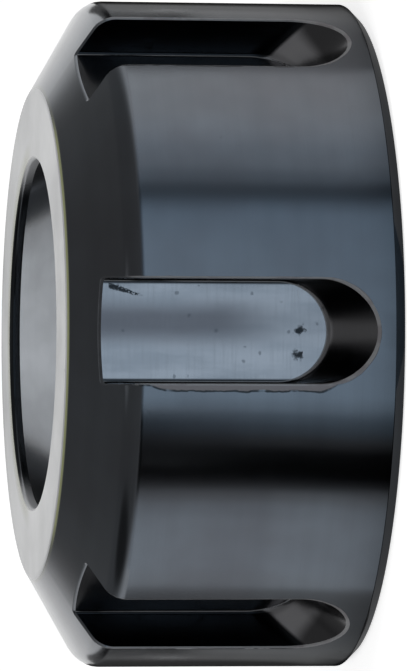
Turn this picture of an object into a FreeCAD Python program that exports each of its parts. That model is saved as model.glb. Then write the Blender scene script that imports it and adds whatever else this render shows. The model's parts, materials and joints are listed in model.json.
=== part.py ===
import FreeCAD, Part
import math
import os

# A collet nut: one turned, milled and ground piece of steel. All sizes are in mm, angles in degrees.
# The thread axis is Z. The rear face, where the nut screws onto its spindle, lies at z = 0, and the nose points to +Z.

# Outside
OUTER_DIA = 42.0
LENGTH = 20.0
REAR_CHAMFER = 0.65
NOSE_RING_DIA = 30.8
NOSE_SLOPE = 60.0
NOSE_ROUND = 1.5
RING_EDGE_ROUND = 0.5

# Mouth, and the ground seat that presses on the collet
MOUTH_DIA = 22.0
MOUTH_EDGE_ROUND = 0.25
MOUTH_LAND = 0.65
SEAT_HALF_ANGLE = 30.0

# Room for the collet's head, and the off-centre lip that pulls the collet out
HEAD_DIA = 27.4
HEAD_ROOM = 1.0
LIP_DIA = 25.7
LIP_WIDTH = 1.0
LIP_CLEARANCE = 0.1
LIP_BACK_SLOPE = 70.0

# Spindle thread, bored to its crest, with a relief groove at its inner end
THREAD_DIA = 32.0
THREAD_PITCH = 1.5
RELIEF_CLEARANCE = 0.3
RELIEF_WIDTH = 1.3
RELIEF_SLOPE = 60.0
ENTRY_CLEARANCE = 0.25

# Wrench slots, milled in from the nose and run out on a ramp before the rear edge
SLOT_COUNT = 6
SLOT_WIDTH = 6.3
SLOT_DEPTH = 2.8
SLOT_CORNER_ROUND = 0.35
SLOT_END_FROM_REAR = 1.7
SLOT_RAMP = 43.0
FIRST_SLOT_ANGLE = -90.0

# Sizes that follow from the ones above
OUTER_R = OUTER_DIA / 2
RING_R = NOSE_RING_DIA / 2
MOUTH_R = MOUTH_DIA / 2
HEAD_R = HEAD_DIA / 2
LIP_R = LIP_DIA / 2
LIP_OFFSET = HEAD_R - LIP_CLEARANCE - LIP_R
LIP_NEAR_R = LIP_R - LIP_OFFSET
CREST_R = THREAD_DIA / 2 - 5 / 8 * THREAD_PITCH * math.cos(math.radians(30))
RELIEF_R = THREAD_DIA / 2 + RELIEF_CLEARANCE
ENTRY_R = THREAD_DIA / 2 + ENTRY_CLEARANCE
SLOT_FLOOR = OUTER_R - SLOT_DEPTH


def run(rise, slope):
    """Length along the axis that a cone of this slope, measured from the axis, takes for this change of radius."""
    return rise / math.tan(math.radians(slope))


# Heights above the rear face
NOSE_CORNER_Z = LENGTH - run(OUTER_R - RING_R, NOSE_SLOPE)
LAND_Z = LENGTH - MOUTH_LAND
SEAT_END_Z = LAND_Z - run(HEAD_R - MOUTH_R, SEAT_HALF_ANGLE)
HEAD_END_Z = SEAT_END_Z - HEAD_ROOM
LIP_END_Z = HEAD_END_Z - LIP_WIDTH
RELIEF_TOP_Z = LIP_END_Z - run(RELIEF_R - LIP_NEAR_R, LIP_BACK_SLOPE)
RELIEF_END_Z = RELIEF_TOP_Z - RELIEF_WIDTH
THREAD_TOP_Z = RELIEF_END_Z - run(RELIEF_R - CREST_R, RELIEF_SLOPE)
ENTRY_Z = ENTRY_R - CREST_R


def at(point):
    """A section point (radius, height) in the XZ plane."""
    return FreeCAD.Vector(point[0], 0, point[1])


def rounded(corner, before, after, radius):
    """The start, middle and end of the arc that rounds a corner of the section."""
    corner = at(corner)
    to_before = (at(before) - corner).normalize()
    to_after = (at(after) - corner).normalize()
    half = to_before.getAngle(to_after) / 2
    reach = radius / math.tan(half)
    bisector = (to_before + to_after).normalize()
    centre = corner + bisector * (radius / math.sin(half))
    return corner + to_before * reach, centre - bisector * radius, corner + to_after * reach


def section(corners):
    """A closed face from corners (radius, height, rounding), with an arc at each corner that has a rounding."""
    arcs = []
    for i, (r, z, rounding) in enumerate(corners):
        if rounding:
            arcs.append(rounded((r, z), corners[i - 1], corners[(i + 1) % len(corners)], rounding))
        else:
            arcs.append((at((r, z)),) * 3)
    edges = []
    for i, (start, middle, end) in enumerate(arcs):
        if start != end:
            edges.append(Part.Arc(start, middle, end).toShape())
        edges.append(Part.makeLine(end, arcs[(i + 1) % len(arcs)][0]))
    return Part.Face(Part.Wire(edges))


def turned_blank():
    """The nut as it leaves the lathe: outside, nose ring, seat, head room, lip, relief and thread bore in one section."""
    corners = [
        (OUTER_R - REAR_CHAMFER, 0, 0),
        (OUTER_R, REAR_CHAMFER, 0),
        (OUTER_R, NOSE_CORNER_Z, NOSE_ROUND),
        (RING_R, LENGTH, RING_EDGE_ROUND),
        (MOUTH_R, LENGTH, MOUTH_EDGE_ROUND),
        (MOUTH_R, LAND_Z, 0),
        (HEAD_R, SEAT_END_Z, 0),
        (HEAD_R, HEAD_END_Z, 0),
        (LIP_NEAR_R, HEAD_END_Z, 0),
        (LIP_NEAR_R, LIP_END_Z, 0),
        (RELIEF_R, RELIEF_TOP_Z, 0),
        (RELIEF_R, RELIEF_END_Z, 0),
        (CREST_R, THREAD_TOP_Z, 0),
        (CREST_R, ENTRY_Z, 0),
        (ENTRY_R, 0, 0),
    ]
    return section(corners).revolve(FreeCAD.Vector(), FreeCAD.Vector(0, 0, 1), 360)


def lip_bore():
    """The off-centre bore that leaves the extraction lip as a crescent, nearly flush with the head room on one side."""
    top = HEAD_END_Z + HEAD_ROOM / 2
    base = FreeCAD.Vector(LIP_OFFSET, 0, RELIEF_TOP_Z)
    return Part.makeCylinder(LIP_R, top - RELIEF_TOP_Z, base)


def slot_cutter():
    """Sweep of the milling cutter for the slot on the +X side, with its flat floor, run-out ramp and rounded corners."""
    half = SLOT_WIDTH / 2
    lift = 1.5 * SLOT_DEPTH
    drift = lift * math.tan(math.radians(SLOT_RAMP))
    end_z = SLOT_END_FROM_REAR + half + SLOT_DEPTH * math.tan(math.radians(SLOT_RAMP))
    front_z = LENGTH + drift + half
    floor = [
        FreeCAD.Vector(SLOT_FLOOR, -half, front_z),
        FreeCAD.Vector(SLOT_FLOOR, -half, end_z),
        FreeCAD.Vector(SLOT_FLOOR, 0, end_z - half),
        FreeCAD.Vector(SLOT_FLOOR, half, end_z),
        FreeCAD.Vector(SLOT_FLOOR, half, front_z),
    ]
    outline = [
        Part.makeLine(floor[0], floor[1]),
        Part.Arc(floor[1], floor[2], floor[3]).toShape(),
        Part.makeLine(floor[3], floor[4]),
        Part.makeLine(floor[4], floor[0]),
    ]
    sweep = Part.Face(Part.Wire(outline)).extrude(FreeCAD.Vector(lift, 0, -drift))
    on_floor = [
        edge
        for edge in sweep.Edges
        if all(abs(v.X - SLOT_FLOOR) < 1e-6 for v in edge.Vertexes) and edge.CenterOfMass.z < front_z - 1e-6
    ]
    return sweep.makeFillet(SLOT_CORNER_ROUND, on_floor)


def collet_nut():
    """The finished nut."""
    cutters = [lip_bore()]
    slot = slot_cutter()
    for i in range(SLOT_COUNT):
        turned = slot.copy()
        angle = FIRST_SLOT_ANGLE + i * 360 / SLOT_COUNT
        turned.rotate(FreeCAD.Vector(), FreeCAD.Vector(0, 0, 1), angle)
        cutters.append(turned)
    return turned_blank().cut(cutters)


def export(name, shape):
    """Write one node as its own STEP file, as a single valid solid."""
    if len(shape.Solids) != 1 or not shape.isValid():
        raise ValueError(name + " is not one valid solid")
    shape.Solids[0].exportStep(os.path.join("parts", name + ".step"))


os.makedirs("parts", exist_ok=True)
export("collet_nut", collet_nut())
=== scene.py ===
import json
import math
from types import SimpleNamespace

import bmesh
import bpy
from mathutils import Matrix, Vector


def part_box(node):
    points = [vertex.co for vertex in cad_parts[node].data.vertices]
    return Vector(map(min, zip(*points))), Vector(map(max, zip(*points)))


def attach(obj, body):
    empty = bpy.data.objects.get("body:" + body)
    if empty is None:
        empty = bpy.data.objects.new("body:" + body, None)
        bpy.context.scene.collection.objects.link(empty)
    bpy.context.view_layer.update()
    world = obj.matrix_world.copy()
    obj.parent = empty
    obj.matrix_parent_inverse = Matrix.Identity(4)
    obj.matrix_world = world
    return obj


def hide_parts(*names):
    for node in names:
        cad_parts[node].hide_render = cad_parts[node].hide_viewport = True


bl_info = {
    "name": "Collet Nut",
    "version": (1, 0, 0),
    "blender": (4, 5, 0),
    "location": "View3D > Sidebar > Collet Nut",
    "description": "Builds a blackened steel collet nut with ground nose ring and seat, and its stage",
    "category": "Add Mesh",
}

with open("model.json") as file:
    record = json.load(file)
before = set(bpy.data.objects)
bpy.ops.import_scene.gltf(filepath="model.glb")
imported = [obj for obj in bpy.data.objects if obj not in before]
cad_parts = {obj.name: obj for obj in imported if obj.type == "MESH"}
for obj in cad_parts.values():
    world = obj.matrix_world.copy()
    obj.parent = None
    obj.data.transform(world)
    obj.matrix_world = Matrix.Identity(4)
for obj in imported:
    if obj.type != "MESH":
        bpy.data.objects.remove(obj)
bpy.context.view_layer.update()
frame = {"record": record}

MM = 0.001
MICRON = 0.000001
NODE = "collet_nut"
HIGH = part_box(NODE)[1]
MOUNTS = {mount["name"]: mount for mount in frame["record"]["mounts"]}
OUTER_R = HIGH.x / MM
LENGTH = HIGH.z / MM
MOUTH_R = MOUNTS["mouth"]["dims"]["r_mm"]
CREST_R = MOUNTS["spindle_thread"]["dims"]["r_mm"]

# The photograph's frame, and where its camera stood
IMAGE_WIDTH = 408
IMAGE_HEIGHT = 671
AXIS_X = 188.79
AXIS_Y = 334.57
SENSOR = 36.0
LENS = 333.08
CAMERA_DISTANCE = 0.3932
CAMERA_RISE = math.radians(9.036)
CAMERA_TURN = math.radians(-0.63)
CAMERA_ROLL = math.radians(0.279)
CAMERA_AIM = Vector((0, 0, LENGTH * MM / 2))
NEAREST = 0.01

# The floor: how far it lies below the nut, its paint, and how much whiter the camera and the metal see it
FLOOR_GAP = 0.00002
FLOOR_COLOUR = (0.7, 0.7, 0.7)
FLOOR_GLOW = 0.68

# Soft boxes: side and place, in metres
KEY_LAMP = (0.5, (-0.45, -0.55, 0.75))
FILL_LAMP = (0.6, (0.7, -0.35, 0.6))

# The surround's brightness by the sine of the height above the horizon, how much sooner it darkens in
# front of the nut, and the dark flag high at one side
SURROUND = [
    (0.0, 1.0), (0.15, 0.96), (0.23, 0.62), (0.31, 0.32), (0.42, 0.19), (0.93, 0.165), (0.975, 0.16),
    (0.99, 0.3), (1.0, 0.4),
]
FRONT_SHADE = 0.18
FLAG_SIDE = 0.8
FLAG_RISE = 0.6
FLAG_EDGE = (0.93, 0.985)
FLAG_COLOUR = (0.05, 0.05, 0.05)

# Tinted films on the floor that only reflections see. The metal mirrors the floor through them, as it
# mirrored the photographer's room. A row holds the angle round the nut's outside, from its front, at which
# the camera sees the film mirrored, how much light it lets through, and how cool it turns it if it does.
ROOM_FILM = [
    (-90, 0.02), (-83, 0.03), (-76, 0.2), (-72, 0.28), (-53, 0.3), (-50.5, 0.36), (-48.5, 0.8, 0.2),
    (-44, 0.88, 0.3), (-36, 0.84, 0.3), (-32, 0.7, 0.3), (-29.3, 0.44, 0.1), (-27, 0.05), (-25.5, 0.0),
    (-21, 0.01), (-19, 0.1), (-17, 0.22, 0.8), (-15, 0.36, 0.9), (-13, 0.72, 0.8), (-11, 0.95, 0.85),
    (19.8, 0.9, 1.0), (21.4, 0.64, 1.0), (23.2, 0.24, 1.0), (24.6, 0.2, 0.9), (26.4, 0.48, 0.7),
    (29.4, 0.72, 0.5), (32, 0.8, 0.5), (34.5, 0.9, 0.35), (37, 1.0, 0.25), (40, 1.0, 0.1), (46, 1.0),
    (49.5, 0.95), (51.5, 0.45), (56, 0.42), (72, 0.4), (76, 0.24), (81, 0.01), (90, 0.01),
]
SHADE_FILM = [(-23, 1.0), (-19, 0.1), (-14.5, 0.1), (-12.5, 1.0)]
SLOT_FILM = [(50, 1.0), (55, 0.15), (72, 0.15), (76, 1.0)]
COOL_TINT = (0.65, 0.83, 1.0)
FILM_GAP = 0.00005
FILM_STEPS = 96

# How far off the nut's wall the films start and end, and up to which angle and how high their ends stand
SHADE_FILM_START = 0.09
SLOT_FILM_START = 0.07
FILM_REACH = 0.5
ROOM_STAND = (45, 0.11)
SLOT_STAND = (90, 0.06)

# A film is darker at its foot, in the nut's own shade, and beside the nut's edges it soon fades out
FOOT_SHADE = 0.6
FOOT_SHADE_REACH = 0.016
EDGE_FILM_FROM = 83.5
EDGE_FILM_REACH = 0.1
EDGE_FILM_FADE = 0.3

# The low dark flags far behind the nut: first angle off the front, spread and height
EDGE_FLAG_FROM = math.radians(134)
EDGE_FLAG_SPREAD = math.radians(25)
EDGE_FLAG_STEPS = 6
EDGE_FLAG_HEIGHT = 0.1
EDGE_FLAG_LEVEL = 0.12

# The dark ring at the nut's foot, and the floor inside its bore, at the middle and at the wall
FOOT_FILM_WIDTH = 0.0015
FOOT_FILM_LEVEL = 0.2
BORE_FILM_LEVELS = (1.0, 0.6)
BORE_FILM_COOL = 0.2

# Details of the section that the panel doesn't offer, in millimetres
SEAT_HALF_ANGLE = math.radians(30)
MOUTH_LAND = 0.65
HEAD_ROOM = 1.0
LIP_WIDTH = 1.0
LIP_CLEARANCE = 0.1
LIP_BACK_SLOPE = math.radians(70)
LIP_STOCK = 0.3
RELIEF_CLEARANCE = 0.3
RELIEF_WIDTH = 1.3
RELIEF_SLOPE = math.radians(60)
ENTRY_CLEARANCE = 0.25
SLOT_END_FROM_REAR = 1.7
SLOT_CORNER_ROUND = 0.2
NOSE_ROUND = 1.5
RING_EDGE_ROUND = 0.5
MOUTH_EDGE_ROUND = 0.25
RELIEF_ROUND = 0.2
FINE_ROUND = 0.1

# The thread cutter: flank angle, root width in pitches, how far it stands inside the crest in millimetres,
# and how many pitches below the rear face it starts
THREAD_FLANK = math.radians(30)
THREAD_ROOT = 1 / 8
THREAD_OVERCUT = 0.2
THREAD_LEAD_IN = 0.98

# How far out the slots' cutter reaches, in slot depths, and the lip bore's above the lip, in millimetres
SLOT_OVERCUT = 1.5
LIP_OVERCUT = 0.5

# Steps of the turned and swept shapes. The slot walls cross the outside midway between two columns.
TURNED_STEPS = 312
SLOT_END_STEPS = 48
ROUND_STEPS = 5
THREAD_STEPS_PER_TURN = 104
LIP_STEPS = 192

# Points closer than this are merged: in the turned blank, in the cut nut and along the slots' rims, in mm.
# Heights closer than the slack are the same height.
MERGE_TURNED = 0.0005
MERGE_CUT = 0.002
MERGE_RIM = 0.012
SLACK = 0.001

# The oil film looks browner than the clean oxide
BROWNED = (0.12, 0.125, 0.139)

# Wear along the slots' edges: how strong it is, its patches in a metre, and the heights in millimetres
# between which it fades to a share of itself at the nose
WEAR = 0.8
WEAR_PATCHES = 900.0
WEAR_FADE = (16.2, 17.5)
WEAR_AT_NOSE = 0.12

# A surface counts as the front slot's beyond the first of these shares of the outside radius, and as none
# of it before the second
FRONT_SLOT = (0.8, 0.6)

# The rough strip beside one wall of the front slot, in millimetres
BURR_WIDTH = 0.45
BURR_LEAST = 0.13
BURR_FRONT = 16.4
BURR_FRONT_TAPER = 2.0
BURR_SOFT_END = 0.3
BURR_END_TAPER = (-1.2, 0.4)
BURR_EDGE = 0.04
BURR_LINE = (0.03, 0.09)
BURR_COLOUR = (0.17, 0.163, 0.172)

# The darker streak on a slot's floor, in millimetres, and how strong it is at its two ends
STREAK_OFFSET = 0.55
STREAK_CORE = 0.2
STREAK_HALF_WIDTH = 1.9
STREAK_WANDER = 1.0
STREAK_FADE = (6.0, 11.5)
STREAK_ENDS = (0.2, 0.95)
STREAK_COLOUR = (0.12, 0.117, 0.127)

# The painted highlight, a bright line in the corner of a slot's floor, in millimetres: its distance from the
# wall, and how far off its middle it starts to fade and ends
CORNER_HIGHLIGHT_INSET = 0.12
CORNER_HIGHLIGHT_FADE = (0.015, 0.05)

# The soft start of a slot's ramp, and painted shade in the slots, in millimetres: the band at the walls, by
# distance from the wall, and the sides of the front slot's ramp, by distance from the middle
RAMP_EDGE = 0.3
WALL_SHADE_BAND = (0.34, 0.2)
RAMP_SIDE_SHADE_AT = (0.6, 1.6)
RAMP_SIDE_SHADE = 0.85

# In the other slots the ramp's start has a painted highlight, up to this far up it, and the front end
# painted shade
RAMP_HIGHLIGHT_AT = (0.8, 1.4)
RAMP_HIGHLIGHT_SHARE = 0.8
FRONT_END_SHADE_AT = (14.5, 17.0)
FRONT_END_SHADE_SHARE = 0.85

# A row of gouges on a slot's floor, in millimetres: its place and height at the open end, its shape, and
# the noise levels between which it is torn out
GOUGE_SIDE = 2.75
GOUGE_FRONT = 17.8
GOUGE_SLOPE = 0.3
GOUGE_LENGTH = 4.0
GOUGE_HALF_WIDTH = 0.4
GOUGE_SOFT_END = 0.3
GOUGE_TORN = (0.29, 0.38)

# The straw-coloured thin oxide beside the ground ring and at the mouth's edge, in millimetres. It thins out
# at the nut's sides, between these shares of the ring's radius.
STRAW_FROM_RING = 0.14
STRAW_HALF_WIDTH = 0.24
STRAW_AT_MOUTH = 0.1
STRAW_THINS = (0.75, 0.92)
STRAW_COLOUR = (0.36, 0.38, 0.2)
RUBBED_FROM = 8.6

# The ground ring carries painted shade that darkens it towards its far side, and a straw tinge at its inner
# edge. Fine scratches scatter part of the light, so that it looks bright from every side.
RING_FAR_SHADE = (0.06, 0.32)
TINGE = (0.2, 1.6)
TINGE_SHARE = 0.8
TINGE_LEVEL = 0.55
TINGE_FAR = 4.0
RING_METALLIC = 0.25
SEAT_METALLIC = 0.95
GROUND_AT_GRAZING = (0.62, 0.62, 0.6, 1.0)

# How much less metallic worn places and the painted highlight in the slots' corners look
LESS_METAL_WORN_AND_HIGHLIT = -0.6

# Turned and ground steel reflects differently along its lines and across them
TURNED = {"Anisotropic": 0.4, "Anisotropic Rotation": 0.25}
WHEEL_GROUND = {"Anisotropic": 0.5, "Anisotropic Rotation": 0.25}

# How bright marks, coats and painted light are, as a share of the black, ground or milled steel's colour
BLACK_LINE, BLACK_PIT, MOUTH_SHADE_LEVEL, BLACK_GROOVE = 0.65, 0.12, 0.25, 0.2
WORN_STEEL, RUBBED_STEEL = 0.38, 0.8
GROUND_CLEAN, GROUND_FILM, GROUND_LINE, GROUND_SPECK = 1.04, 0.78, 0.75, 0.2
MILLED_CLEAN, MILLED_MARK, RAMP_SHADE_LEVEL, RAMP_HIGHLIGHT_LEVEL = 1.05, 0.6, 0.33, 1.7
GRIT, DEEP_PIT, FRONT_END_SHADE_LEVEL, WALL_SHADE_LEVEL, CORNER_HIGHLIGHT_LEVEL = 0.4, 0.15, 0.25, 0.12, 0.3
THREAD_DRY, THREAD_OILY, THREAD_LINE = 1.3, 0.8, 0.6

# Surface zones in the order of the nut's materials, the layers that its finishes read, and the angle from
# which an edge is sharp
BLACKENED, GROUND, MILLED, THREADED = range(4)
EDGE_BREAK = "edge_break"
SLOT_PLAN = "slot_plan"
SHARP = math.radians(38)


def number(name, description, default, **kind):
    """A number that the panel offers."""
    return bpy.props.FloatProperty(name=name, description=description, default=default, **kind)


def size_setting(name, description, millimetres):
    """A length of the nut that the panel offers."""
    return number(name, description, millimetres * MM, unit="LENGTH")


def angle_setting(name, description, degrees):
    """An angle that the panel offers."""
    return number(name, description, math.radians(degrees), subtype="ANGLE")


def colour_setting(name, description, colour):
    """A colour that the panel offers."""
    return bpy.props.FloatVectorProperty(name=name, description=description, default=colour, subtype="COLOR")


class ColletNutSizes(bpy.types.PropertyGroup):
    """Sizes of the nut that its maker would set. The outside, mouth and thread bore come from the frame."""

    ring_diameter: size_setting("Nose ring", "Outside diameter of the ground ring", 30.8)
    nose_slope: angle_setting("Nose slope", "Angle of the nose from the axis", 60)
    rear_chamfer: size_setting("Rear chamfer", "Width of the chamfer at the rear", 0.65)
    head_diameter: size_setting("Head room", "Diameter of the room for the collet's head", 27.4)
    lip_diameter: size_setting("Lip bore", "Diameter of the off-centre bore", 25.7)
    thread_diameter: size_setting("Thread", "Major diameter of the spindle thread", 32)
    thread_pitch: size_setting("Pitch", "Pitch of the spindle thread", 1.5)
    slot_count: bpy.props.IntProperty(name="Slots", description="Number of wrench slots", default=6, min=1)
    slot_width: size_setting("Slot width", "Width of a wrench slot", 6.3)
    slot_depth: size_setting("Slot depth", "Depth of a wrench slot at its middle", 2.8)
    slot_ramp: angle_setting("Slot run-out", "Lean of the slot's rear end", 43)
    edge_break: size_setting("Edge break", "Width of the broken edge round a slot", 0.13)


class ColletNutFinish(bpy.types.PropertyGroup):
    """Colours of the nut's surfaces."""

    black: colour_setting("Black oxide", "Colour of the blackened surfaces", (0.15, 0.166, 0.186))
    bright: colour_setting("Ground steel", "Colour of the ground surfaces", (0.61, 0.62, 0.64))
    milled: colour_setting("Milled slots", "Colour of the slots' floors", (0.32, 0.32, 0.335))


class ColletNutStage(bpy.types.PropertyGroup):
    """The floor and the light."""

    floor_size: number("Floor size", "Side of the floor", 6.0, unit="LENGTH")
    key_power: number("Key light", "Power of the key light", 4.0, unit="POWER")
    fill_power: number("Fill light", "Power of the fill light", 2.5, unit="POWER")


def run(rise, slope):
    """Length along the axis over which a cone of this slope changes its radius by this much."""
    return rise / math.tan(slope)


def nut_plan(sizes):
    """Every radius and height of the nut in millimetres, from the sizes in the panel."""
    p = SimpleNamespace()
    p.rear_chamfer = sizes.rear_chamfer / MM
    p.ring_r = sizes.ring_diameter / MM / 2
    p.nose_corner_z = LENGTH - run(OUTER_R - p.ring_r, sizes.nose_slope)
    p.land_z = LENGTH - MOUTH_LAND
    p.head_r = sizes.head_diameter / MM / 2
    p.seat_end_z = p.land_z - run(p.head_r - MOUTH_R, SEAT_HALF_ANGLE)
    p.head_end_z = p.seat_end_z - HEAD_ROOM
    p.lip_r = sizes.lip_diameter / MM / 2
    p.lip_offset = p.head_r - LIP_CLEARANCE - p.lip_r
    p.lip_near_r = p.lip_r - p.lip_offset
    p.lip_stock_r = p.lip_near_r - LIP_STOCK
    p.thread_r = sizes.thread_diameter / MM / 2
    p.pitch = sizes.thread_pitch / MM
    p.relief_r = p.thread_r + RELIEF_CLEARANCE
    p.lip_end_z = p.head_end_z - LIP_WIDTH + run(p.lip_near_r - p.lip_stock_r, LIP_BACK_SLOPE)
    p.relief_top_z = p.head_end_z - LIP_WIDTH - run(p.relief_r - p.lip_near_r, LIP_BACK_SLOPE)
    p.relief_end_z = p.relief_top_z - RELIEF_WIDTH
    p.thread_top_z = p.relief_end_z - run(p.relief_r - CREST_R, RELIEF_SLOPE)
    p.entry_r = p.thread_r + ENTRY_CLEARANCE
    p.entry_z = p.entry_r - CREST_R
    p.slot_half = sizes.slot_width / MM / 2
    p.slot_depth = sizes.slot_depth / MM
    p.slot_floor = OUTER_R - p.slot_depth
    p.slot_ramp = sizes.slot_ramp
    p.slot_end_z = SLOT_END_FROM_REAR + p.slot_half
    p.floor_end_z = p.slot_end_z + p.slot_depth * math.tan(p.slot_ramp)
    p.slot_count = sizes.slot_count
    p.edge_break = sizes.edge_break / MM
    return p


def verts_of(geometry):
    """The points in what a bmesh operator made."""
    return [part for part in geometry if isinstance(part, bmesh.types.BMVert)]


def lowest(edge):
    """The height of an edge's lower end."""
    return min(vert.co.z for vert in edge.verts)


def bevel(bm, parts, width, affect, steps):
    """Round points or edges, and return what the operator made."""
    return bmesh.ops.bevel(
        bm, geom=parts, offset=width, offset_type="OFFSET", affect=affect, segments=steps,
        profile=0.5, material=-1, clamp_overlap=False, loop_slide=False,
    )


def spin(bm, parts, angle, steps, rise=0.0, centre=(0, 0, 0), axis=(0, 0, 1), closed=False):
    """Sweep parts round an axis, and return the parts at the end of the sweep."""
    return bmesh.ops.spin(
        bm, geom=parts, cent=centre, axis=axis, dvec=(0, 0, rise), angle=angle, steps=steps,
        use_merge=closed, use_duplicate=False,
    )["geom_last"]


def round_corner(bm, vert, radius):
    """Round a corner of a wire section."""
    first, second = (edge.other_vert(vert).co - vert.co for edge in vert.link_edges)
    bevel(bm, [vert], radius / math.tan(first.angle(second) / 2), "VERTICES", ROUND_STEPS)


def turned_blank(p):
    """The nut as it leaves the lathe, spun from its section."""
    corners = [
        (OUTER_R - p.rear_chamfer, 0, FINE_ROUND),
        (OUTER_R, p.rear_chamfer, FINE_ROUND),
        (OUTER_R, p.nose_corner_z, NOSE_ROUND),
        (p.ring_r, LENGTH, RING_EDGE_ROUND),
        (MOUTH_R, LENGTH, MOUTH_EDGE_ROUND),
        (MOUTH_R, p.land_z, FINE_ROUND),
        (p.head_r, p.seat_end_z, FINE_ROUND),
        (p.head_r, p.head_end_z, FINE_ROUND),
        (p.lip_stock_r, p.head_end_z, 0),
        (p.lip_stock_r, p.lip_end_z, 0),
        (p.relief_r, p.relief_top_z, RELIEF_ROUND),
        (p.relief_r, p.relief_end_z, RELIEF_ROUND),
        (CREST_R, p.thread_top_z, 0),
        (CREST_R, p.entry_z, 0),
        (p.entry_r, 0, FINE_ROUND),
    ]
    bm = bmesh.new()
    verts = [bm.verts.new((r, 0, z)) for r, z, _ in corners]
    for start, end in zip(verts, verts[1:] + verts[:1]):
        bm.edges.new((start, end))
    for vert, (_, _, radius) in zip(verts, corners):
        if radius:
            round_corner(bm, vert, radius)
    spin(bm, bm.verts[:] + bm.edges[:], 2 * math.pi, TURNED_STEPS, closed=True)
    bmesh.ops.remove_doubles(bm, verts=bm.verts[:], dist=MERGE_TURNED)
    bmesh.ops.recalc_face_normals(bm, faces=bm.faces[:])
    for face in bm.faces:
        centre = face.calc_center_median()
        radius = math.hypot(centre.x, centre.y)
        below_edge = p.land_z < centre.z < LENGTH - FINE_ROUND / 4
        on_land = radius < MOUTH_R + MOUTH_EDGE_ROUND and below_edge
        if centre.z > p.seat_end_z and radius < p.ring_r + RING_EDGE_ROUND / 4 and not on_land:
            face.material_index = GROUND
    return bm


def add_slot_cutters(bm, p):
    """The cutter's sweep for every slot: flat floor, rounded corners and an end that leans out on a ramp."""
    lift = SLOT_OVERCUT * p.slot_depth
    drift = lift * math.tan(p.slot_ramp)
    front_z = LENGTH + drift + p.slot_half
    centre = (p.slot_floor, 0, p.floor_end_z)
    start = bm.verts.new((p.slot_floor, -p.slot_half, p.floor_end_z))
    end = spin(bm, [start], math.pi, SLOT_END_STEPS, centre=centre, axis=(1, 0, 0))[0]
    sides = bmesh.ops.extrude_vert_indiv(bm, verts=[start, end])["verts"]
    bmesh.ops.translate(bm, verts=sides, vec=(0, 0, front_z - p.floor_end_z))
    bm.edges.new(sides)
    floor = bmesh.ops.contextual_create(bm, geom=bm.edges[:])["faces"][0]
    rounded = [edge for edge in floor.edges if edge.calc_length() and lowest(edge) < front_z - SLACK]
    top = bmesh.ops.extrude_face_region(bm, geom=[floor], use_keep_orig=True)["geom"]
    bmesh.ops.translate(bm, verts=verts_of(top), vec=(lift, 0, -drift))
    bevel(bm, rounded, SLOT_CORNER_ROUND, "EDGES", ROUND_STEPS)
    bmesh.ops.recalc_face_normals(bm, faces=bm.faces[:])
    for face in bm.faces:
        face.material_index = MILLED
    first = bm.verts[:] + bm.edges[:] + bm.faces[:]
    for i in range(1, p.slot_count):
        copied = bmesh.ops.duplicate(bm, geom=first)["geom"]
        turn = Matrix.Rotation(i * 2 * math.pi / p.slot_count, 3, "Z")
        bmesh.ops.rotate(bm, verts=verts_of(copied), cent=(0, 0, 0), matrix=turn)
    to_front = Matrix.Rotation(-math.pi / 2, 3, "Z")
    bmesh.ops.rotate(bm, verts=bm.verts[:], cent=(0, 0, 0), matrix=to_front)


def add_lip_bore(bm, p):
    """The off-centre bore that leaves the extraction lip as a crescent."""
    top = p.head_end_z + LIP_OVERCUT
    bottom = p.relief_top_z
    made = bmesh.ops.create_cone(
        bm, cap_ends=True, segments=LIP_STEPS, radius1=p.lip_r, radius2=p.lip_r, depth=top - bottom,
        matrix=Matrix.Translation((p.lip_offset, 0, (top + bottom) / 2)),
    )
    for face in {face for vert in made["verts"] for face in vert.link_faces}:
        face.material_index = BLACKENED


def add_thread_cutter(bm, p):
    """The right-handed groove of the spindle thread, from below the rear face into the relief groove."""
    inner_r = CREST_R - THREAD_OVERCUT
    root_half = p.pitch * THREAD_ROOT / 2
    mouth_half = root_half + (p.thread_r - inner_r) * math.tan(THREAD_FLANK)
    start_z = -THREAD_LEAD_IN * p.pitch
    end_z = (p.relief_top_z + p.relief_end_z) / 2
    turns = (end_z - start_z) / p.pitch
    steps = round(turns * THREAD_STEPS_PER_TURN)
    profile = [
        (inner_r, -mouth_half), (p.thread_r, -root_half), (p.thread_r, root_half), (inner_r, mouth_half)
    ]
    tooth = bm.faces.new([bm.verts.new((r, 0, start_z + z)) for r, z in profile])
    before = set(bm.faces) - {tooth}
    parts = [tooth] + tooth.edges[:] + tooth.verts[:]
    spin(bm, parts, turns * 2 * math.pi, steps, rise=(end_z - start_z) / steps)
    groove = [face for face in bm.faces if face not in before]
    bmesh.ops.recalc_face_normals(bm, faces=groove)
    for face in groove:
        face.material_index = THREADED


def add_object(name, data):
    """A new object in the scene."""
    made = bpy.data.objects.new(name, data)
    bpy.context.scene.collection.objects.link(made)
    return made


def mesh_object(name, bm):
    """An object made from a bmesh, which is freed."""
    mesh = bpy.data.meshes.new(name)
    bm.to_mesh(mesh)
    bm.free()
    return add_object(name, mesh)


def settle(piece):
    """Apply a piece's modifiers to its mesh."""
    bpy.context.view_layer.update()
    depsgraph = bpy.context.evaluated_depsgraph_get()
    mesh = bpy.data.meshes.new_from_object(piece.evaluated_get(depsgraph))
    piece.modifiers.clear()
    piece.data = mesh


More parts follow.
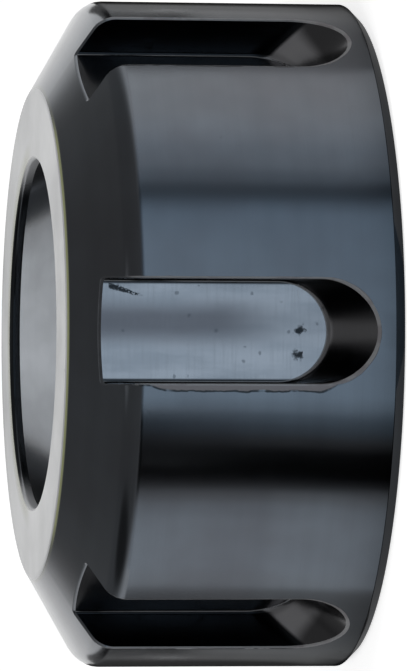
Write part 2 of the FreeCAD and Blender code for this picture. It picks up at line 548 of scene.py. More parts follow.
def cut_nut(p, finishes):
    """The turned blank with the lip bore, the thread and the slots cut into it."""
    nut = mesh_object("nut", turned_blank(p))
    bm = bmesh.new()
    add_slot_cutters(bm, p)
    add_lip_bore(bm, p)
    add_thread_cutter(bm, p)
    cutters = mesh_object("nut_cutters", bm)
    for piece in (nut, cutters):
        for finish in finishes:
            piece.data.materials.append(finish)
    cut = nut.modifiers.new("cut", "BOOLEAN")
    cut.operation = "DIFFERENCE"
    cut.solver = "EXACT"
    cut.object = cutters
    settle(nut)
    bpy.data.objects.remove(cutters)
    return nut


def rim_edges(bm):
    """The edges that lie between a slot and another surface."""
    return [edge for edge in bm.edges if sum(face.material_index == MILLED for face in edge.link_faces) == 1]


def break_slot_edges(nut, p):
    """Take the sharp edge off every slot, and mark the broken edges, where the finish wears first.

    Every point also gets its place on the nearest slot's plan: across it and up from the rear.
    """
    bm = bmesh.new()
    bm.from_mesh(nut.data)
    mark = bm.faces.layers.float.new(EDGE_BREAK)
    plan = bm.loops.layers.uv.new(SLOT_PLAN)
    bmesh.ops.remove_doubles(bm, verts=bm.verts[:], dist=MERGE_CUT)
    on_rim = list({vert for edge in rim_edges(bm) for vert in edge.verts})
    bmesh.ops.remove_doubles(bm, verts=on_rim, dist=MERGE_RIM)
    for face in bevel(bm, rim_edges(bm), p.edge_break, "EDGES", 2)["faces"]:
        face[mark] = 1.0
        face.material_index = BLACKENED
    for edge in bm.edges:
        first, second = (face[mark] for face in edge.link_faces)
        edge.smooth = first == second and edge.calc_face_angle() < SHARP
    bmesh.ops.scale(bm, vec=(MM, MM, MM), verts=bm.verts[:])
    step = 2 * math.pi / p.slot_count
    for face in bm.faces:
        face.smooth = True
        centre = face.calc_center_median()
        turn = round((math.atan2(centre.y, centre.x) + math.pi / 2) / step) * step - math.pi / 2
        for loop in face.loops:
            local = Matrix.Rotation(-turn, 3, "Z") @ loop.vert.co
            loop[plan].uv = local.yz
    bm.to_mesh(nut.data)
    bm.free()


def even_shading(nut):
    """Shade by face area, so that flat and turned faces keep their own direction up to a rounded edge."""
    shade = nut.modifiers.new("shade", "WEIGHTED_NORMAL")
    shade.mode = "FACE_AREA"
    shade.weight = 50
    shade.keep_sharp = True
    settle(nut)


class COLLETNUT_OT_nut(bpy.types.Operator):
    """Build the nut and give its surfaces their finish"""

    bl_idname = "collet_nut.nut"
    bl_label = "Nut"

    def execute(self, context):
        p = nut_plan(context.scene.collet_nut_sizes)
        nut = cut_nut(p, nut_finishes(context.scene.collet_nut_finish, p))
        break_slot_edges(nut, p)
        even_shading(nut)
        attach(nut, "root")
        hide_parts(NODE)
        return {"FINISHED"}


class COLLETNUT_OT_stage(bpy.types.Operator):
    """Set the camera, the floor and the light"""

    bl_idname = "collet_nut.stage"
    bl_label = "Stage"

    def execute(self, context):
        stage = context.scene.collet_nut_stage
        place_camera()
        place_floor(stage)
        place_lights(stage)
        film = film_material()
        low_slot_film = [(-angle, *tint) for angle, *tint in reversed(SLOT_FILM)]
        place_film("room_film", film, ROOM_FILM, 0.0, ROOM_STAND)
        place_film("shade_film", film, SHADE_FILM, SHADE_FILM_START, ROOM_STAND)
        place_film("high_slot_film", film, SLOT_FILM, SLOT_FILM_START, SLOT_STAND)
        place_film("low_slot_film", film, low_slot_film, SLOT_FILM_START, SLOT_STAND)
        place_edge_flag("high_edge_flag", film, 1)
        place_edge_flag("low_edge_flag", film, -1)
        place_foot_film(film)
        place_bore_film(film)
        return {"FINISHED"}


class COLLETNUT_PT_panel(bpy.types.Panel):
    """Sidebar panel with the settings, and the steps in the order in which they run"""

    bl_idname = "COLLETNUT_PT_panel"
    bl_label = "Collet Nut"
    bl_space_type = "VIEW_3D"
    bl_region_type = "UI"
    bl_category = "Collet Nut"

    def draw(self, context):
        for group in SETTINGS:
            settings = getattr(context.scene, group)
            for name in settings.__annotations__:
                self.layout.prop(settings, name)
        for step in STEPS:
            self.layout.operator(step)


def place_camera():
    """The camera stands where the photographer's did, turned so that the nut's nose points left."""
    level = math.cos(CAMERA_RISE)
    forward = Vector((
        -math.sin(CAMERA_TURN) * level, math.cos(CAMERA_TURN) * level, -math.sin(CAMERA_RISE)
    ))
    up = Vector((math.cos(CAMERA_TURN), math.sin(CAMERA_TURN), 0))
    right = forward.cross(up)
    rolled_right = right * math.cos(CAMERA_ROLL) + up * math.sin(CAMERA_ROLL)
    rolled_up = up * math.cos(CAMERA_ROLL) - right * math.sin(CAMERA_ROLL)
    camera_data = bpy.data.cameras.new("camera")
    camera_data.lens = LENS
    camera_data.sensor_width = SENSOR
    camera_data.shift_x = (IMAGE_WIDTH / 2 - AXIS_X) / IMAGE_HEIGHT
    camera_data.shift_y = (AXIS_Y - IMAGE_HEIGHT / 2) / IMAGE_HEIGHT
    camera_data.clip_start = NEAREST
    camera = add_object("camera", camera_data)
    turn = Matrix((rolled_right, rolled_up, -forward)).transposed().to_4x4()
    camera.matrix_world = Matrix.Translation(CAMERA_AIM - forward * CAMERA_DISTANCE) @ turn
    bpy.context.scene.camera = camera


def add_node(tree, kind, inputs=None, **properties):
    """Add a node. An input is either a value or the socket that feeds it."""
    made = tree.nodes.new(kind)
    for name, value in properties.items():
        setattr(made, name, value)
    for key, value in (inputs or {}).items():
        if isinstance(value, bpy.types.NodeSocket):
            tree.links.new(value, made.inputs[key])
        else:
            made.inputs[key].default_value = value
    return made


def maths(tree, operation, *values):
    """The result of a Math node."""
    return add_node(tree, "ShaderNodeMath", dict(enumerate(values)), operation=operation).outputs[0]


def times(tree, value, *factors):
    """A value times other values."""
    for factor in factors:
        value = maths(tree, "MULTIPLY", value, factor)
    return value


def add_up(tree, value, *shares):
    """A value plus shares of other values."""
    for other, share in shares:
        value = maths(tree, "MULTIPLY_ADD", other, share, value)
    return value


def minus(tree, first, second):
    """The difference of two values."""
    return maths(tree, "SUBTRACT", first, second)


def either(tree, first, second):
    """The greater of two masks."""
    return maths(tree, "MAXIMUM", first, second)


def size_of(tree, value):
    """A value without its sign."""
    return maths(tree, "ABSOLUTE", value)


def above(tree, value, limit):
    """Mask of where a value is over a limit."""
    return maths(tree, "GREATER_THAN", value, limit)


def distance(tree, first, second):
    """How far two sideways steps lead together."""
    squares = maths(tree, "POWER", first, 2.0), maths(tree, "POWER", second, 2.0)
    return maths(tree, "SQRT", maths(tree, "ADD", *squares))


def blend(tree, factor, first, second):
    """A colour mixed from two."""
    mix = add_node(tree, "ShaderNodeMix", {0: factor, 6: first, 7: second}, data_type="RGBA")
    return mix.outputs[2]


def coats(tree, colour, *layers):
    """A colour with coats over it. A coat has the mask that says where it lies, its colour and its level."""
    for mask, *coat in layers:
        colour = blend(tree, mask, colour, opaque(*coat))
    return colour


def ramp(tree, value, low, high, start=0.0, end=1.0):
    """A value carried smoothly from one range to another."""
    inputs = {0: value, 1: low, 2: high, 3: start, 4: end}
    return add_node(tree, "ShaderNodeMapRange", inputs, interpolation_type="SMOOTHSTEP").outputs[0]


def ramp_mm(tree, value, low, high, start=0.0, end=1.0):
    """A length carried smoothly from a range in millimetres to another range."""
    return ramp(tree, value, low * MM, high * MM, start, end)


def split(tree, place):
    """The X, Y and Z of a place."""
    return add_node(tree, "ShaderNodeSeparateXYZ", {0: place}).outputs[:]


def object_place(tree):
    """Where a surface point lies, in Object coordinates."""
    return add_node(tree, "ShaderNodeTexCoord").outputs["Object"]


def noise(tree, place, per_metre, detail, roughness=0.5):
    """A noise pattern between 0 and 1."""
    inputs = {"Vector": place, "Scale": per_metre, "Detail": detail, "Roughness": roughness}
    return add_node(tree, "ShaderNodeTexNoise", inputs).outputs["Fac"]


def place_in_section(tree):
    """Where a surface point lies: its Object coordinates, its distance from the axis, and its height."""
    place = object_place(tree)
    x, y, height = split(tree, place)
    return place, distance(tree, x, y), height


def place_in_slot(tree):
    """Where a surface point lies on its slot's plan: the plan's coordinates, then across and up."""
    plan = add_node(tree, "ShaderNodeUVMap", uv_map=SLOT_PLAN).outputs[0]
    across, height, _ = split(tree, plan)
    return plan, across, height


def in_front_slot(tree, inside, elsewhere):
    """A value for the slot at the nut's front, and another for the slots round its sides and back."""
    at_front = split(tree, object_place(tree))[1]
    return ramp_mm(tree, at_front, *(-share * OUTER_R for share in FRONT_SLOT), inside, elsewhere)


def new_material(name):
    """An empty node material and its tree."""
    material = bpy.data.materials.new(name)
    material.use_nodes = True
    material.node_tree.nodes.clear()
    return material, material.node_tree


def new_effect(name, inputs):
    """A node group for a surface effect, with its named inputs, and the sockets that carry them."""
    tree = bpy.data.node_groups.new(name, "ShaderNodeTree")
    for label, default in inputs.items():
        socket = tree.interface.new_socket(label, in_out="INPUT", socket_type="NodeSocketFloat")
        socket.default_value = default
    return tree, tree.nodes.new("NodeGroupInput").outputs


def put_out(tree, label, value):
    """Name the result of a node group."""
    tree.interface.new_socket(label, in_out="OUTPUT", socket_type="NodeSocketFloat")
    add_node(tree, "NodeGroupOutput", {label: value})


def use(tree, effect, **values):
    """Place an effect in a material with its own values."""
    made = add_node(tree, "ShaderNodeGroup", node_tree=bpy.data.node_groups[effect])
    for label, value in values.items():
        made.inputs[label.replace("_", " ")].default_value = value
    return made.outputs[0]


def build_effects():
    """The effects that the nut's finishes share."""
    build_turned_lines()
    build_specks()
    build_oil_film()


def build_turned_lines():
    """Fine and coarse lines round the axis, broken up along their length."""
    tree, given = new_effect("turned lines", {"Lines per metre": 9000.0, "Waver": 0.4})
    place, across, height = place_in_section(tree)
    section = add_node(tree, "ShaderNodeCombineXYZ", {"X": across, "Y": height}).outputs[0]
    fine = noise(tree, section, given["Lines per metre"], 2.0)
    coarse = noise(tree, section, 900.0, 1.0)
    broken = noise(tree, place, 260.0, 2.0)
    wavered = times(tree, minus(tree, broken, 0.5), given["Waver"])
    put_out(tree, "Lines", add_up(tree, wavered, (fine, 0.5), (coarse, 0.5)))


def build_specks():
    """Scattered spots with ragged edges. Size is the largest one's share of the room that each has."""
    defaults = {"Per metre": 600.0, "Size": 0.2, "Share": 0.2, "Raggedness": 0.0003}
    tree, given = new_effect("specks", defaults)
    place = object_place(tree)
    ragged = add_node(tree, "ShaderNodeTexNoise", {"Vector": place, "Scale": 3500.0, "Detail": 2.0})
    push = {0: ragged.outputs["Color"], 1: (0.5, 0.5, 0.5)}
    push = add_node(tree, "ShaderNodeVectorMath", push, operation="SUBTRACT").outputs[0]
    push = {0: push, 3: given["Raggedness"]}
    push = add_node(tree, "ShaderNodeVectorMath", push, operation="SCALE").outputs[0]
    pushed = add_node(tree, "ShaderNodeVectorMath", {0: place, 1: push}, operation="ADD").outputs[0]
    cells = add_node(tree, "ShaderNodeTexVoronoi", {"Vector": pushed, "Scale": given["Per metre"]})
    chance, chance_of_size, _ = add_node(
        tree, "ShaderNodeSeparateColor", {0: cells.outputs["Color"]}
    ).outputs
    picked = maths(tree, "LESS_THAN", chance, given["Share"])
    size = times(tree, given["Size"], maths(tree, "MULTIPLY_ADD", chance_of_size, 0.8, 0.2))
    spot = minus(tree, 1.0, maths(tree, "DIVIDE", cells.outputs["Distance"], size))
    put_out(tree, "Specks", times(tree, picked, ramp(tree, spot, 0.0, 0.5)))


def build_oil_film():
    """Soft-edged patches where oil lies."""
    tree, given = new_effect("oil film", {"Patches per metre": 70.0})
    patches = noise(tree, object_place(tree), given["Patches per metre"], 4.0, 0.6)
    put_out(tree, "Film", ramp(tree, patches, 0.3, 0.7))


def opaque(colour, level=1.0):
    """A colour with full alpha, darkened or lightened by a level."""
    return (*[channel * level for channel in colour], 1.0)


def finish_surface(tree, colour, roughness, normal, metal):
    """The steel shader of a finish, with its values for the metal."""
    around = add_node(tree, "ShaderNodeTangent", direction_type="RADIAL", axis="Z").outputs[0]
    inputs = {"Base Color": colour, "Roughness": roughness, "Normal": normal, "Tangent": around}
    shader = add_node(tree, "ShaderNodeBsdfPrincipled", {**inputs, "Metallic": 1.0, **metal})
    add_node(tree, "ShaderNodeOutputMaterial", {"Surface": shader.outputs[0]})


def bumps(tree, *layers):
    """Bump nodes in a row, each with a height and its depth in microns."""
    normal = {}
    for height, depth in layers:
        inputs = {"Height": height, "Distance": depth * MICRON, "Strength": 1.0, **normal}
        normal = {"Normal": add_node(tree, "ShaderNodeBump", inputs).outputs[0]}
    return normal["Normal"]


def blackened_finish(finish, p):
    """Turned steel under black oxide: lathe lines, a few pits, uneven oil, worn and burred edges."""
    material, tree = new_material("blackened")
    lines = use(tree, "turned lines", Lines_per_metre=11000.0, Waver=0.5)
    pits = use(tree, "specks", Per_metre=600.0, Size=0.16, Share=0.06)
    wear = edge_wear(tree)
    film = use(tree, "oil film")
    strip, groove = burr_strip(tree, p)
    straw, mouth, rubbed = nose_zones(tree, p)
    colour = coats(
        tree, opaque(finish.black),
        (film, BROWNED),
        (ramp(tree, lines, 0.3, 0.75, 0.0, 0.3), finish.black, BLACK_LINE),
        (pits, finish.black, BLACK_PIT),
        (straw, STRAW_COLOUR),
        # Painted shade inside the mouth, much darker than the black oxide
        (mouth, finish.black, MOUTH_SHADE_LEVEL),
        (strip, BURR_COLOUR),
        (wear, finish.bright, WORN_STEEL),
        (rubbed, finish.bright, RUBBED_STEEL),
        (groove, finish.black, BLACK_GROOVE),
    )
    worn = either(tree, either(tree, strip, wear), either(tree, straw, rubbed))
    roughness = add_up(tree, 0.11, (lines, 0.05), (film, 0.05), (worn, 0.3))
    normal = bumps(tree, (lines, 1.4), (pits, -10), (strip, -12))
    metal = {"Metallic": add_up(tree, 1.0, (worn, LESS_METAL_WORN_AND_HIGHLIT)), **TURNED}
    finish_surface(tree, colour, roughness, normal, metal)
    return material


def edge_wear(tree):
    """Mask of patchy wear on the broken edges of the slots, which fades towards the nose."""
    place, _, height = place_in_section(tree)
    edge = add_node(tree, "ShaderNodeAttribute", attribute_name=EDGE_BREAK).outputs["Fac"]
    patches = ramp(tree, noise(tree, place, WEAR_PATCHES, 3.0), 0.3, 0.5)
    return times(tree, edge, patches, ramp_mm(tree, height, *WEAR_FADE, 1.0, WEAR_AT_NOSE), WEAR)


def nose_zones(tree, p):
    """Masks of the straw film beside the ground surfaces, of painted shade inside the mouth, and of its
    rubbed oxide.
    """
    place, across, height = place_in_section(tree)
    from_side = size_of(tree, split(tree, place)[0])
    at_nose = above(tree, height, (LENGTH - MOUTH_LAND) * MM)
    from_ring = size_of(tree, minus(tree, across, (p.ring_r + STRAW_FROM_RING) * MM))
    by_ring = ramp_mm(tree, from_ring, STRAW_HALF_WIDTH / 3, STRAW_HALF_WIDTH, 1.0, 0.0)
    thins_from, thins_to = (share * p.ring_r for share in STRAW_THINS)
    by_ring = times(tree, by_ring, ramp_mm(tree, from_side, thins_from, thins_to, 1.0, 0.1))
    from_mouth = minus(tree, (MOUTH_R + MOUTH_EDGE_ROUND) * MM, across)
    at_mouth = above(tree, from_mouth, 0.0)
    by_mouth = times(tree, ramp_mm(tree, from_mouth, 0.0, STRAW_AT_MOUTH, 1.0, 0.0), at_mouth)
    rubbed = times(tree, ramp_mm(tree, from_side, RUBBED_FROM, MOUTH_R), at_mouth)
    # Painted shade: the mouth's land darkened, except where it is straw-coloured or rubbed
    mouth_shade = either(tree, minus(tree, at_mouth, either(tree, by_mouth, rubbed)), 0.0)
    straw = either(tree, by_ring, by_mouth)
    return [times(tree, mask, at_nose) for mask in (straw, mouth_shade, rubbed)]


def burr_strip(tree, p):
    """Masks of the strip that the cutter left rough beside the front slot, and of the fine groove along it.

    Along every other rim the strip is narrow.
    """
    _, side, height = place_in_slot(tree)
    place, across, _ = place_in_section(tree)
    aside = times(tree, side, -1.0)
    past_end = maths(tree, "MINIMUM", minus(tree, height, p.slot_end_z * MM), 0.0)
    off_wall = minus(tree, distance(tree, aside, past_end), p.slot_half * MM)
    from_front = minus(tree, BURR_FRONT * MM, height)
    ragged = noise(tree, place, 700.0, 3.0)
    widest = ramp_mm(tree, from_front, 0.0, BURR_FRONT_TAPER)
    widest = times(tree, widest, in_front_slot(tree, BURR_WIDTH * MM, 0.0))
    tapered = ramp_mm(tree, height, *(p.slot_end_z + taper for taper in BURR_END_TAPER))
    tapered = times(tree, tapered, above(tree, aside, 0.0))
    width = either(tree, times(tree, widest, tapered), BURR_LEAST * MM)
    width = times(tree, width, maths(tree, "MULTIPLY_ADD", ragged, 1.3, 0.35))
    inside = minus(tree, width, off_wall)
    beside = above(tree, off_wall, -BURR_WIDTH * MM)
    outside = above(tree, across, p.slot_floor * MM)
    along = times(tree, ramp_mm(tree, from_front, 0.0, BURR_SOFT_END), beside, outside)
    strip = times(tree, ramp_mm(tree, inside, 0.0, BURR_EDGE), along)
    by_line = ramp_mm(tree, size_of(tree, inside), *BURR_LINE, 1.0, 0.0)
    groove = times(tree, by_line, along, tapered, ramp(tree, ragged, 0.4, 0.5))
    return strip, groove


def ground_finish(finish):
    """Bright ground steel with fine rings left by the wheel."""
    material, tree = new_material("ground")
    lines = use(tree, "turned lines", Lines_per_metre=20000.0, Waver=0.2)
    specks = use(tree, "specks", Per_metre=420.0, Size=0.14, Share=0.05)
    film = use(tree, "oil film", Patches_per_metre=120.0)
    place, across, height = place_in_section(tree)
    far = split(tree, place)[1]
    ring = above(tree, height, (LENGTH - FINE_ROUND) * MM)
    far_shade = ramp_mm(tree, far, -MOUTH_R, MOUTH_R, *RING_FAR_SHADE)
    tinge = ramp_mm(tree, across, *(MOUTH_R + reach for reach in TINGE), TINGE_SHARE, 0.0)
    tinge = times(tree, tinge, ramp_mm(tree, far, 0.0, TINGE_FAR))
    colour = coats(
        tree, opaque(finish.bright, GROUND_CLEAN),
        (film, finish.bright, GROUND_FILM),
        (ramp(tree, lines, 0.35, 0.7, 0.0, 0.25), finish.bright, GROUND_LINE),
        (specks, finish.bright, GROUND_SPECK),
        # Painted shade: the ring darkened towards its far side
        (times(tree, far_shade, ring), finish.black),
        (times(tree, tinge, ring), STRAW_COLOUR, TINGE_LEVEL),
    )
    roughness = add_up(tree, 0.17, (lines, 0.06), (film, 0.06))
    normal = bumps(tree, (lines, 1), (specks, -8))
    metallic = add_up(tree, SEAT_METALLIC, (ring, RING_METALLIC - SEAT_METALLIC))
    metal = {"Metallic": metallic, "Specular Tint": GROUND_AT_GRAZING, **WHEEL_GROUND}
    finish_surface(tree, colour, roughness, normal, metal)
    return material


def milled_finish(finish, p):
    """Milled slots: bright floors with a dark streak, cutter marks, pits and gouges, and painted shade and
    highlights.
    """
    material, tree = new_material("milled")
    plan, side, height = place_in_slot(tree)
    marks = noise(tree, stretched(tree, plan, (300.0, 7000.0, 1.0)), 1.0, 2.0)
    blotches = noise(tree, stretched(tree, plan, (700.0, 160.0, 1.0)), 1.0, 4.0)
    pits = use(tree, "specks", Per_metre=620.0, Size=0.3, Share=0.17, Raggedness=0.0006)
    grit = use(tree, "specks", Per_metre=2200.0, Size=0.35, Share=0.12, Raggedness=0.0003)
    film = use(tree, "oil film", Patches_per_metre=150.0)
    aside = size_of(tree, side)
    off_streak = size_of(tree, minus(tree, side, STREAK_OFFSET * MM))
    off_streak = add_up(tree, off_streak, (minus(tree, blotches, 0.5), STREAK_WANDER * MM))
    streak = ramp_mm(tree, off_streak, STREAK_CORE, STREAK_HALF_WIDTH, 1.0, 0.0)
    streak = times(tree, streak, ramp_mm(tree, height, *STREAK_FADE, *STREAK_ENDS))
    past_end = maths(tree, "MINIMUM", minus(tree, height, p.floor_end_z * MM), 0.0)
    off_floor = minus(tree, distance(tree, aside, past_end), p.slot_half * MM)
    on_ramp = maths(tree, "LESS_THAN", past_end, 0.0)
    on_ramp = times(tree, ramp_mm(tree, off_floor, 0.0, RAMP_EDGE), on_ramp)
    # Painted highlight at the start of the side slots' ramps
    ramp_highlight = times(tree, on_ramp, ramp_mm(tree, off_floor, *RAMP_HIGHLIGHT_AT, 1.0, 0.0))
    ramp_highlight = times(tree, ramp_highlight, in_front_slot(tree, 0.0, RAMP_HIGHLIGHT_SHARE))
    front_end_shade = times(tree, ramp_mm(tree, height, *FRONT_END_SHADE_AT), in_front_slot(tree, 0.0, FRONT_END_SHADE_SHARE))
    # Painted shade at the sides of the front slot's ramp
    sides = times(tree, on_ramp, in_front_slot(tree, RAMP_SIDE_SHADE, 0.0), ramp_mm(tree, aside, *RAMP_SIDE_SHADE_AT))
    # Painted shade on the walls and on the floor along them
    wall = either(tree, ramp_mm(tree, aside, *(p.slot_half - band for band in WALL_SHADE_BAND)), sides)
    # Painted highlight along the corner of each slot's floor
    off_corner = size_of(tree, maths(tree, "ADD", off_floor, CORNER_HIGHLIGHT_INSET * MM))
    corner_highlight = ramp_mm(tree, off_corner, *CORNER_HIGHLIGHT_FADE, 1.0, 0.0)
    corner_highlight = times(tree, corner_highlight, ramp(tree, blotches, 0.4, 0.5, 0.2, 0.9))
    colour = coats(
        tree, opaque(finish.milled, MILLED_CLEAN),
        (ramp(tree, blotches, 0.35, 0.65, 0.0, 0.4), finish.black),
        (streak, STREAK_COLOUR),
        (ramp(tree, marks, 0.45, 0.75, 0.0, 0.15), finish.milled, MILLED_MARK),
        (times(tree, grit, 0.5), finish.black, GRIT),
        (either(tree, pits, gouges(tree)), finish.black, DEEP_PIT),
        # Painted shade that darkens every slot's ramp
        (on_ramp, finish.milled, RAMP_SHADE_LEVEL),
        # Painted highlight: the start of the side slots' ramps lightened
        (ramp_highlight, finish.milled, RAMP_HIGHLIGHT_LEVEL),
        # Painted shade at the front end of the side slots
        (front_end_shade, finish.black, FRONT_END_SHADE_LEVEL),
        # Painted shade at the walls and at the sides of the front slot's ramp
        (wall, finish.black, WALL_SHADE_LEVEL),
        # Painted highlight: a lighter, less metallic line in the corner of each slot's floor
        (corner_highlight, finish.bright, CORNER_HIGHLIGHT_LEVEL),
    )
    roughness = add_up(tree, 0.14, (marks, 0.08), (film, 0.08), (corner_highlight, 0.3))
    normal = bumps(tree, (marks, 1.6), (blotches, 8), (pits, -14))
    finish_surface(tree, colour, roughness, normal, {"Metallic": add_up(tree, 1.0, (corner_highlight, LESS_METAL_WORN_AND_HIGHLIT))})
    return material


def stretched(tree, plan, per_metre):
    """A slot's plan with a pattern's own count per metre across and along the slot."""
    return add_node(tree, "ShaderNodeMapping", {"Vector": plan, "Scale": per_metre}).outputs[0]


def gouges(tree):
    """Mask of a ragged row of gouges, which runs slantwise from a slot's corner at its open end."""
    _, side, height = place_in_slot(tree)
    start = (GOUGE_SIDE - GOUGE_SLOPE * GOUGE_FRONT) * MM
    off_line = size_of(tree, minus(tree, side, maths(tree, "MULTIPLY_ADD", height, GOUGE_SLOPE, start)))
    near = ramp_mm(tree, off_line, 0.0, GOUGE_HALF_WIDTH, 1.0, 0.0)
    along = ramp_mm(tree, height, GOUGE_FRONT - GOUGE_LENGTH, GOUGE_FRONT - GOUGE_SOFT_END)
    before_front = maths(tree, "LESS_THAN", height, GOUGE_FRONT * MM)
    torn = noise(tree, object_place(tree), 9500.0, 4.0)
    return ramp(tree, times(tree, near, along, before_front, torn), *GOUGE_TORN)


def threaded_finish(finish):
    """The blackened thread, oilier and rougher than the outside."""
    material, tree = new_material("threaded")
    lines = use(tree, "turned lines", Lines_per_metre=14000.0, Waver=0.6)
    film = use(tree, "oil film", Patches_per_metre=200.0)
    colour = coats(
        tree, opaque(finish.black, THREAD_DRY),
        (film, finish.black, THREAD_OILY),
        (ramp(tree, lines, 0.3, 0.75, 0.0, 0.4), finish.black, THREAD_LINE),
    )
    roughness = add_up(tree, 0.2, (lines, 0.1), (film, 0.12))
    finish_surface(tree, colour, roughness, bumps(tree, (lines, 3)), TURNED)
    return material


def nut_finishes(finish, p):
    """The nut's materials, in the order of its surface zones."""
    build_effects()
    return [
        blackened_finish(finish, p), ground_finish(finish), milled_finish(finish, p), threaded_finish(finish)
    ]


def place_floor(stage):
    """A plain pale floor, just under the nut."""
    bm = bmesh.new()
    bmesh.ops.create_grid(bm, x_segments=1, y_segments=1, size=stage.floor_size / 2)
    bmesh.ops.translate(bm, verts=bm.verts[:], vec=(0, 0, -FLOOR_GAP))
    floor = mesh_object("floor", bm)
    floor.data.materials.append(floor_material())


def floor_material():
    """Pale floor that the camera and the metal see as white, with the nut's shadow, and clear from below."""
    material, tree = new_material("floor")
    path = add_node(tree, "ShaderNodeLightPath")
    seen = either(tree, path.outputs["Is Camera Ray"], path.outputs["Is Glossy Ray"])
    seen = either(tree, seen, path.outputs["Is Transmission Ray"])
    paint = add_node(tree, "ShaderNodeBsdfDiffuse", {"Color": opaque(FLOOR_COLOUR)}).outputs[0]
    glow = add_node(tree, "ShaderNodeEmission", {"Strength": times(tree, seen, FLOOR_GLOW)}).outputs[0]
    top = add_node(tree, "ShaderNodeAddShader", {0: paint, 1: glow}).outputs[0]
    clear = add_node(tree, "ShaderNodeBsdfTransparent").outputs[0]
    below = add_node(tree, "ShaderNodeNewGeometry").outputs["Backfacing"]
    surface = add_node(tree, "ShaderNodeMixShader", {0: below, 1: top, 2: clear}).outputs[0]
    add_node(tree, "ShaderNodeOutputMaterial", {"Surface": surface})
    return material


def new_film():
    """An empty bmesh for a film, and the layer that holds its points' tints."""
    bm = bmesh.new()
    return bm, bm.verts.layers.float_color.new("tint")


def film_tint(level, cool=0.0):
    """A film's colour, from how much light it lets through and how cool it turns it."""
    return (*[level * (1 - cool + cool * channel) for channel in COOL_TINT], 1.0)


def place_film(name, film, rows, start, stand):
    """A film that starts off the nut's wall, and whose far end stands up in front of the nut.

    Beside the nut's edges it fades out, so that the nose still mirrors the pale floor far behind.
    """
    bm, tints = new_film()
    stands_to, stands_high = stand
    before = None
    for angle, level, *cool in rows:
        turn = math.radians(angle)
        wall = Vector((math.sin(turn), -math.cos(turn), 0)) * OUTER_R * MM
        outwards = Vector((math.sin(2 * turn), -math.cos(2 * turn), 0))
        places = [(start, FILM_GAP, level * FOOT_SHADE), (start + FOOT_SHADE_REACH, FILM_GAP, level)]
        if abs(angle) > EDGE_FILM_FROM:
            places += [(EDGE_FILM_REACH, FILM_GAP, level), (EDGE_FILM_FADE, FILM_GAP, 1.0)]
        else:
            places.append((FILM_REACH, FILM_GAP, level))
        if abs(angle) <= stands_to:
            places.append((FILM_REACH, stands_high, level))
        row = []
        for reach, height, let_through in places:
            vert = bm.verts.new(wall + outwards * reach + Vector((0, 0, height)))
            vert[tints] = film_tint(let_through, *cool)
            row.append(vert)
        if before:
            for i in range(min(len(row), len(before)) - 1):
                bm.faces.new((before[i], before[i + 1], row[i + 1], row[i]))
        before = row
    lay_film(name, bm, film)


def place_edge_flag(name, film, side):
    """A low dark flag far behind the nut, which the round at its nose mirrors beside the nut's outline."""
    bm, tints = new_film()
    first = Vector((math.sin(EDGE_FLAG_FROM) * side, -math.cos(EDGE_FLAG_FROM), 0)) * FILM_REACH
    spin(bm, [bm.verts.new(first)], EDGE_FLAG_SPREAD * side, EDGE_FLAG_STEPS)
    risen = bmesh.ops.extrude_edge_only(bm, edges=bm.edges[:])["geom"]
    bmesh.ops.translate(bm, verts=verts_of(risen), vec=(0, 0, EDGE_FLAG_HEIGHT))
    for vert in bm.verts:
        vert[tints] = film_tint(EDGE_FLAG_LEVEL)
    lay_film(name, bm, film)


def place_foot_film(film):
    """A dark ring at the nut's foot, where the floor is in the rear chamfer's own shade."""
    bm, tints = new_film()
    inner = OUTER_R * MM - FOOT_FILM_WIDTH
    widen = (OUTER_R * MM + FOOT_FILM_WIDTH) / inner
    bmesh.ops.create_circle(bm, cap_ends=False, radius=inner, segments=FILM_STEPS)
    grown = bmesh.ops.extrude_edge_only(bm, edges=bm.edges[:])["geom"]
    bmesh.ops.scale(bm, vec=(widen, widen, 1), verts=verts_of(grown))
    bmesh.ops.translate(bm, verts=bm.verts[:], vec=(0, 0, -FLOOR_GAP / 2))
    for vert in bm.verts:
        vert[tints] = film_tint(FOOT_FILM_LEVEL)
    lay_film("foot_film", bm, film)


def place_bore_film(film):
    """The floor inside the nut's bore, with painted shade that darkens it towards the wall, as the ground
    seat mirrors it.
    """
    bm, tints = new_film()
    bmesh.ops.create_circle(bm, cap_ends=True, cap_tris=True, radius=CREST_R * MM, segments=FILM_STEPS)
    bmesh.ops.translate(bm, verts=bm.verts[:], vec=(0, 0, -FLOOR_GAP / 2))
    middle, edge = BORE_FILM_LEVELS
    for vert in bm.verts:
        at_edge = math.hypot(vert.co.x, vert.co.y) > CREST_R * MM / 2
        vert[tints] = film_tint(edge if at_edge else middle, BORE_FILM_COOL)
    lay_film("bore_film", bm, film)


def lay_film(name, bm, film):
    """A film that only reflections see."""
    sheet = mesh_object(name, bm)
    sheet.visible_camera = False
    sheet.visible_diffuse = False
    sheet.visible_shadow = False
    sheet.visible_transmission = False
    sheet.data.materials.append(film)


def film_material():
    """Clear, with the tint that the film's points carry."""
    material, tree = new_material("film")
    tint = add_node(tree, "ShaderNodeAttribute", attribute_name="tint").outputs["Color"]
    clear = add_node(tree, "ShaderNodeBsdfTransparent", {"Color": tint}).outputs[0]
    add_node(tree, "ShaderNodeOutputMaterial", {"Surface": clear})
    return material


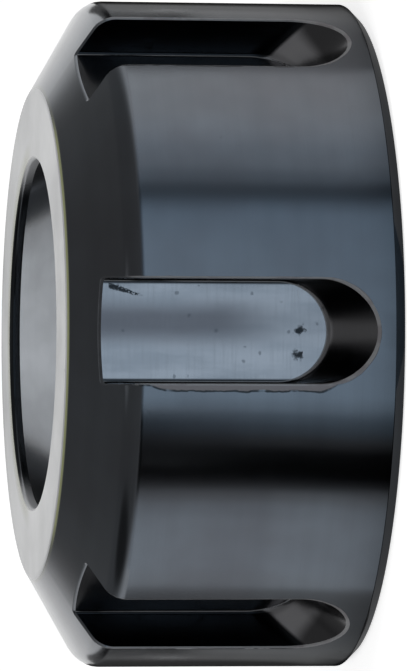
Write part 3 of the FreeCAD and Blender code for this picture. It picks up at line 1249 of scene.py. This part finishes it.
def place_lights(stage):
    """Two soft boxes for the floor and the shadow, and a surround that is white low down and grey above."""
    add_lamp("key", stage.key_power, *KEY_LAMP)
    add_lamp("fill", stage.fill_power, *FILL_LAMP)
    world = bpy.data.worlds.new("surround")
    bpy.context.scene.world = world
    world.use_nodes = True
    tree = world.node_tree
    x, y, z = split(tree, add_node(tree, "ShaderNodeTexCoord").outputs["Generated"])
    levels = add_node(tree, "ShaderNodeValToRGB", {0: add_up(tree, z, (y, -FRONT_SHADE))})
    stops = levels.color_ramp.elements
    while len(stops) < len(SURROUND):
        stops.new(1.0)
    for stop, (height, level) in zip(stops, SURROUND):
        stop.position = height
        stop.color = (level, level, level, 1)
    towards_flag = add_up(tree, times(tree, x, -FLAG_SIDE), (z, FLAG_RISE))
    in_flag = ramp(tree, towards_flag, *FLAG_EDGE)
    shade = blend(tree, in_flag, levels.outputs[0], opaque(FLAG_COLOUR))
    tree.links.new(shade, tree.nodes["Background"].inputs["Color"])
    bpy.context.scene.view_settings.view_transform = "Standard"


def add_lamp(name, power, size, place):
    """A square soft box aimed at the nut. The metal mirrors the surround and the floor instead of it."""
    lamp_data = bpy.data.lights.new(name, "AREA")
    lamp_data.energy = power
    lamp_data.size = size
    lamp = add_object(name, lamp_data)
    lamp.location = place
    lamp.rotation_euler = (CAMERA_AIM - Vector(place)).to_track_quat("-Z", "Y").to_euler()
    lamp.visible_glossy = False


STEPS = ("collet_nut.stage", "collet_nut.nut")
SETTINGS = {
    "collet_nut_stage": ColletNutStage,
    "collet_nut_sizes": ColletNutSizes,
    "collet_nut_finish": ColletNutFinish,
}
CLASSES = (*SETTINGS.values(), COLLETNUT_OT_stage, COLLETNUT_OT_nut, COLLETNUT_PT_panel)


def register():
    """Make the settings, steps and panel known to Blender."""
    for cls in CLASSES:
        bpy.utils.register_class(cls)
    for name, group in SETTINGS.items():
        setattr(bpy.types.Scene, name, bpy.props.PointerProperty(type=group))


def unregister():
    """Take them out again."""
    for name in SETTINGS:
        delattr(bpy.types.Scene, name)
    for cls in reversed(CLASSES):
        bpy.utils.unregister_class(cls)


def main():
    """Build the stage and the nut."""
    register()
    bpy.ops.collet_nut.stage()
    bpy.ops.collet_nut.nut()


if __name__ == "__main__":
    main()
